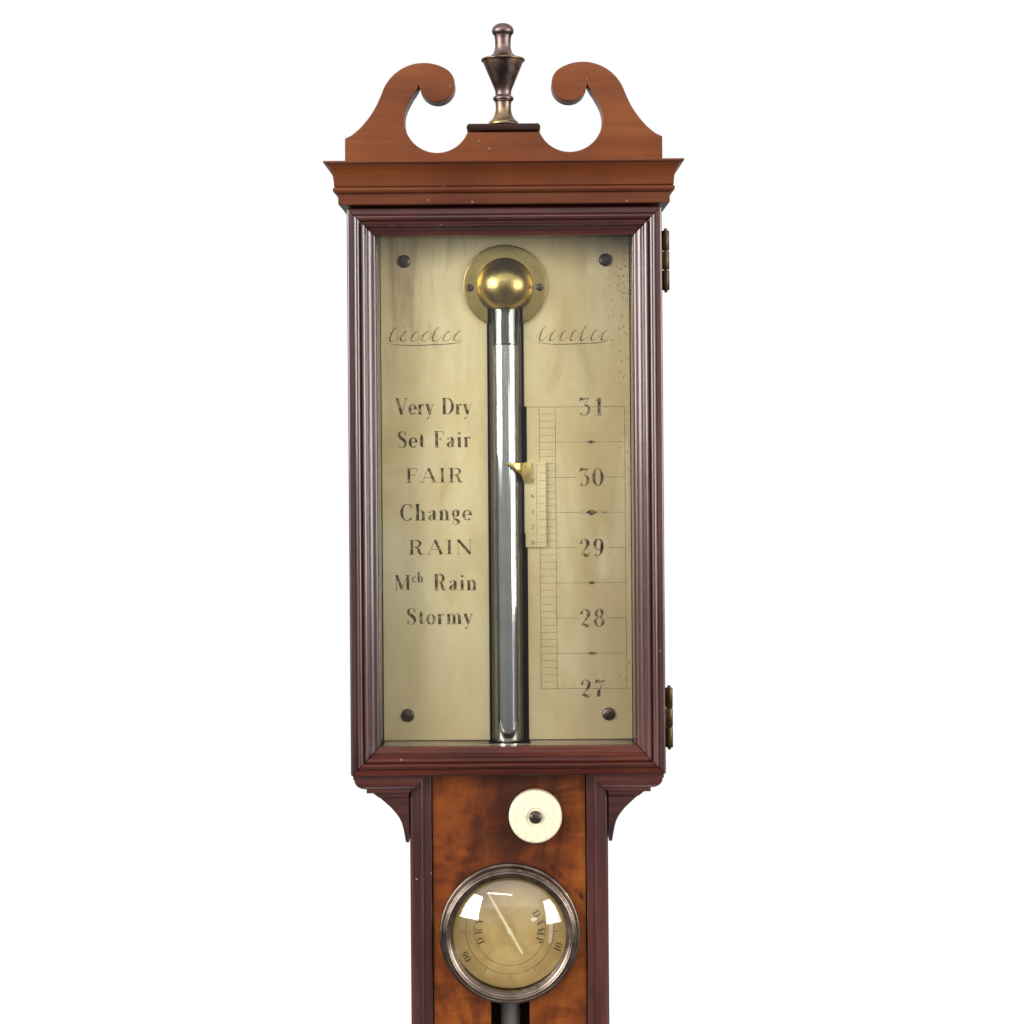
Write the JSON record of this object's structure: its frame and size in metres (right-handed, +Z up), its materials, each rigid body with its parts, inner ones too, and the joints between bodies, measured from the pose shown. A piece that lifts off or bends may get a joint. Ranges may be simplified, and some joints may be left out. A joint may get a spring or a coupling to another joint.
{
  "type": "mercury stick barometer",
  "caption": "Wall-hung mahogany mercury stick barometer with glazed silvered register, rack-driven vernier, hygrometer and boxwood cistern.",
  "frame": {"origin": "centre line of the back board's wall face, at the level of the mercury in the cistern (the zero of the inch scale)", "axes": "+Z up along the tube, +Y into the wall, +X to the viewer's right; the front faces -Y"},
  "size_m": [0.1244, 0.0672, 0.9827],
  "materials": {
    "warm_mahogany": "waxed polish",
    "flame_mahogany": "french polish",
    "dark_mahogany": "french polish",
    "plain_wood": "unpolished",
    "silvered_brass": "aged silvering under lacquer",
    "brass": "tarnished",
    "bronze": "dark patina",
    "steel": "blued and worn",
    "ivory": "polished",
    "glass": "clear",
    "mercury": "liquid mirror",
    "boxwood": "turned",
    "leather": "soft",
    "dial_card": "aged print",
    "straw": "dry straw"
  },
  "bodies": {
    "case": {"back_board": "plain_wood", "hanging_plate": "brass", "head_left_side": "dark_mahogany", "head_right_side": "dark_mahogany", "head_shelf": "dark_mahogany", "head_top_board": "plain_wood", "cornice_front": "warm_mahogany", "cornice_left_return": "warm_mahogany", "cornice_right_return": "warm_mahogany", "pediment": "warm_mahogany", "plinth_cap": "warm_mahogany", "finial": "bronze", "trunk_left_side": "dark_mahogany", "trunk_right_side": "dark_mahogany", "trunk_front_panel": "flame_mahogany", "bracket_left": "dark_mahogany", "bracket_right": "dark_mahogany", "plate_ground_left": "plain_wood", "plate_ground_right": "plain_wood", "register_plate": "silvered_brass", "plate_screw_1": "steel", "plate_screw_2": "steel", "plate_screw_3": "steel", "plate_screw_4": "steel", "tube_cap": "brass", "cap_screw_left": "brass", "cap_screw_right": "brass", "barometer_tube": "glass", "mercury_column": "mercury", "cistern_housing": "dark_mahogany", "cistern_cover": "warm_mahogany", "cistern_cup": "boxwood", "cistern_base": "boxwood", "cistern_mercury": "mercury", "leather_bag": "leather", "screw_collar": "brass", "hygrometer_case": "bronze", "hygrometer_dial": "dial_card", "hygrometer_glass": "glass", "hygrometer_bezel": "bronze", "hinge_lower_case_leaf": "brass", "hinge_upper_case_leaf": "brass", "arbor_bush": "brass"},
    "door": {"door_left_stile": "dark_mahogany", "door_right_stile": "dark_mahogany", "door_bottom_rail": "dark_mahogany", "door_top_rail": "dark_mahogany", "door_glass": "glass", "hinge_lower_door_leaf": "brass", "hinge_upper_door_leaf": "brass"},
    "knob": {"setting_knob": "ivory", "knob_screw": "steel", "knob_arbor": "steel"},
    "vernier": {"vernier_plate": "silvered_brass", "index_finger": "brass", "vernier_rack": "brass"},
    "hygrometer_hand": {"oat_beard": "straw", "hygrometer_pointer": "straw"},
    "pad": {"pressure_pad": "boxwood"},
    "screw": {"portable_screw": "brass"}
  },
  "joints": [
    {"name": "door_swing", "type": "hinge", "parent": "case", "child": "door", "pos_m": [0.057, -0.03715, 0.758], "axis": [0, 0, 1], "range_deg": [0, 110]},
    {"name": "knob_spin", "type": "hinge", "parent": "case", "child": "knob", "pos_m": [0.00935, -0.04, 0.6435], "axis": [0, -1, 0], "range_deg": [-988, 299]},
    {"name": "vernier_slide", "type": "slide", "parent": "case", "child": "vernier", "axis": [0, 0, 1], "range_m": [-0.069, 0.0209]},
    {"name": "hygrometer_turn", "type": "hinge", "parent": "case", "child": "hygrometer_hand", "pos_m": [0, -0.034, 0.6012], "axis": [0, -1, 0], "range_deg": [-209, 151]},
    {"name": "pad_slide", "type": "slide", "parent": "case", "child": "pad", "axis": [0, 0, 1], "range_m": [0, 0.008], "deforming": ["leather_bag"]},
    {"name": "screw_spin", "type": "hinge", "parent": "pad", "child": "screw", "pos_m": [0, -0.024, -0.04], "axis": [0, 0, 1], "range_deg": [0, 1915]}
  ],
  "couplings": [
    {"joint": "knob_spin", "follows": "vernier_slide", "rad_per_m": 250},
    {"joint": "pad_slide", "follows": "screw_spin", "m_per_rad": 0.00023873}
  ]
}
